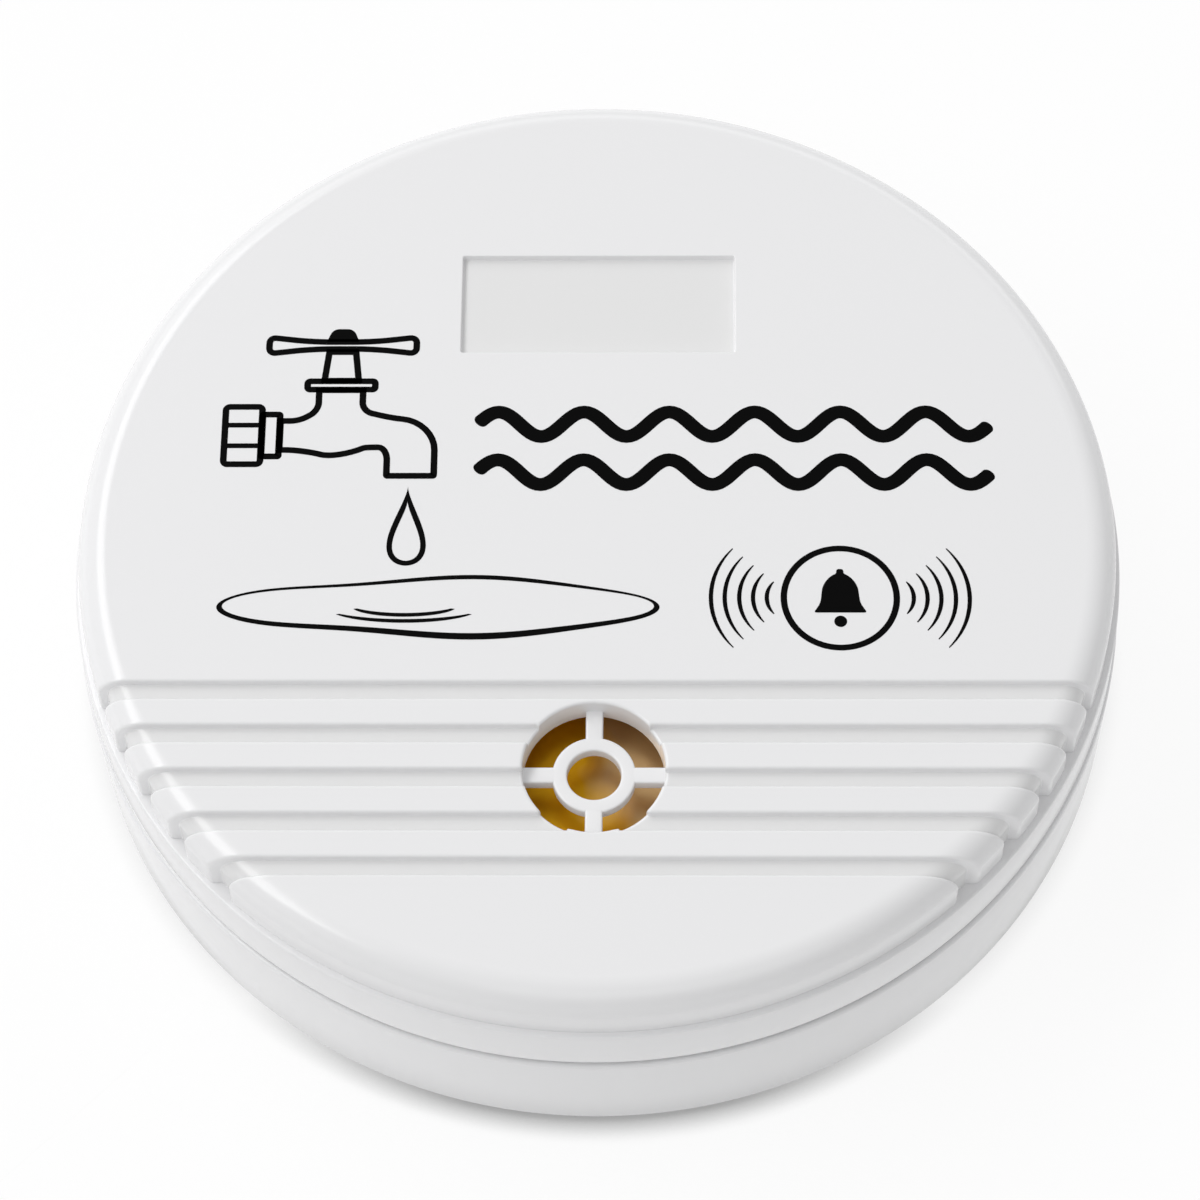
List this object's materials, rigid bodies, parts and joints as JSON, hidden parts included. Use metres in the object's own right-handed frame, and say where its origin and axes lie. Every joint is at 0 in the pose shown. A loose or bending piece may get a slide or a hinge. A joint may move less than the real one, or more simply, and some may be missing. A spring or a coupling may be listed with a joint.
{
  "type": "water leak detector",
  "caption": "round white puck leak alarm with a grooved face, a spoked sound port over a piezo plate, and sensing probes, feet and a battery door underneath",
  "frame": {"origin": "on the surface it stands on, in the middle of the disc", "axes": "+Z out of the face, +Y from the sound port towards the bare recess, +X to the right of the face"},
  "size_m": [0.07, 0.07, 0.018],
  "materials": {
    "case_white": "smooth moulded ABS, slightly glossy",
    "screw_steel": "zinc-plated steel",
    "sounder_brass": "rolled brass, dull",
    "ceramic_silver": "fired silver on ceramic",
    "cell_steel": "nickel-plated steel can",
    "contact_nickel": "nickel-plated spring sheet",
    "board_laminate": "green solder mask on laminate",
    "epoxy_black": "cast epoxy",
    "ferrite": "sintered ferrite",
    "copper_wire": "enamelled copper wire",
    "can_aluminium": "drawn can",
    "resistor_tan": "lacquered body",
    "probe_steel": "polished stainless steel",
    "lead_red": "PVC insulation",
    "lead_black": "PVC insulation",
    "lead_white": "PVC insulation"
  },
  "bodies": {
    "root": {"front_cover": "case_white", "base": "case_white", "battery_door": "case_white", "battery_door_screw": "screw_steel", "case_screws": "screw_steel", "board_screws": "screw_steel", "piezo_plate": "sounder_brass", "piezo_ceramic": "ceramic_silver", "battery_cell_1": "cell_steel", "battery_cell_2": "cell_steel", "battery_cell_3": "cell_steel", "battery_contact": "contact_nickel", "battery_spring": "contact_nickel", "circuit_board": "board_laminate", "chip_blob": "epoxy_black", "boost_coil_core": "ferrite", "boost_coil_winding": "copper_wire", "transistor": "epoxy_black", "capacitor": "can_aluminium", "resistors": "resistor_tan", "probe_left": "probe_steel", "probe_right": "probe_steel", "probe_terminal_left": "contact_nickel", "probe_terminal_right": "contact_nickel", "probe_nuts": "screw_steel", "battery_lead_positive": "lead_red", "battery_lead_negative": "lead_black", "probe_lead_left": "lead_white", "probe_lead_right": "lead_white", "piezo_lead_live": "lead_red", "piezo_lead_ground": "lead_black"}
  },
  "joints": []
}
